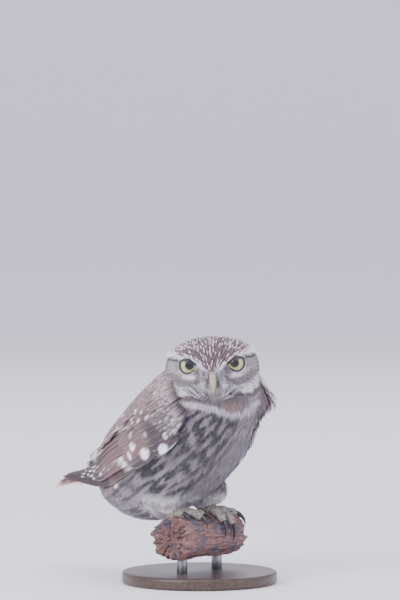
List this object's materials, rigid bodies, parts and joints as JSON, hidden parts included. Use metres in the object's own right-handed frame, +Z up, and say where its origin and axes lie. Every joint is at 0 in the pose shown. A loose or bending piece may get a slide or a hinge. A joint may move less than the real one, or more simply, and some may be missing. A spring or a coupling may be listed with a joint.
{
  "type": "little owl",
  "caption": "Little owl squatting on a short length of weathered limb, head turned to its right, on a plain round display stand.",
  "frame": {"origin": "centre of the stand base's underside", "axes": "+Z up, the bird's body heads along -Y with its tail along +Y, its right side is -X"},
  "size_m": [0.104, 0.1725, 0.167],
  "materials": {
    "body_feather": "soft matt feather",
    "flight_feather": "close smooth feather vanes",
    "leg_feather": "short pale feather",
    "toe_skin": "scaly skin with bristles",
    "bill_horn": "smooth horn",
    "claw_horn": "smooth dark horn",
    "eye": "wet clear",
    "limb_wood": "weathered bark and broken wood",
    "stand_wood": "dark stained, satin",
    "stand_steel": "brushed"
  },
  "bodies": {
    "root": {"torso": "body_feather", "neck": "body_feather", "head": "body_feather", "eye_right": "eye", "eye_left": "eye", "upper_bill": "bill_horn", "lower_bill": "bill_horn", "wing_right": "flight_feather", "wing_left": "flight_feather", "tail": "flight_feather", "thigh_right": "body_feather", "thigh_left": "body_feather", "shank_right": "leg_feather", "shank_left": "leg_feather", "foot_right": "toe_skin", "foot_left": "toe_skin", "claw_right_hind": "claw_horn", "claw_right_inner": "claw_horn", "claw_right_middle": "claw_horn", "claw_right_outer": "claw_horn", "claw_left_hind": "claw_horn", "claw_left_inner": "claw_horn", "claw_left_middle": "claw_horn", "claw_left_outer": "claw_horn", "perch": "limb_wood", "stand_rod_right": "stand_steel", "stand_rod_left": "stand_steel", "stand_base": "stand_wood"}
  },
  "joints": []
}
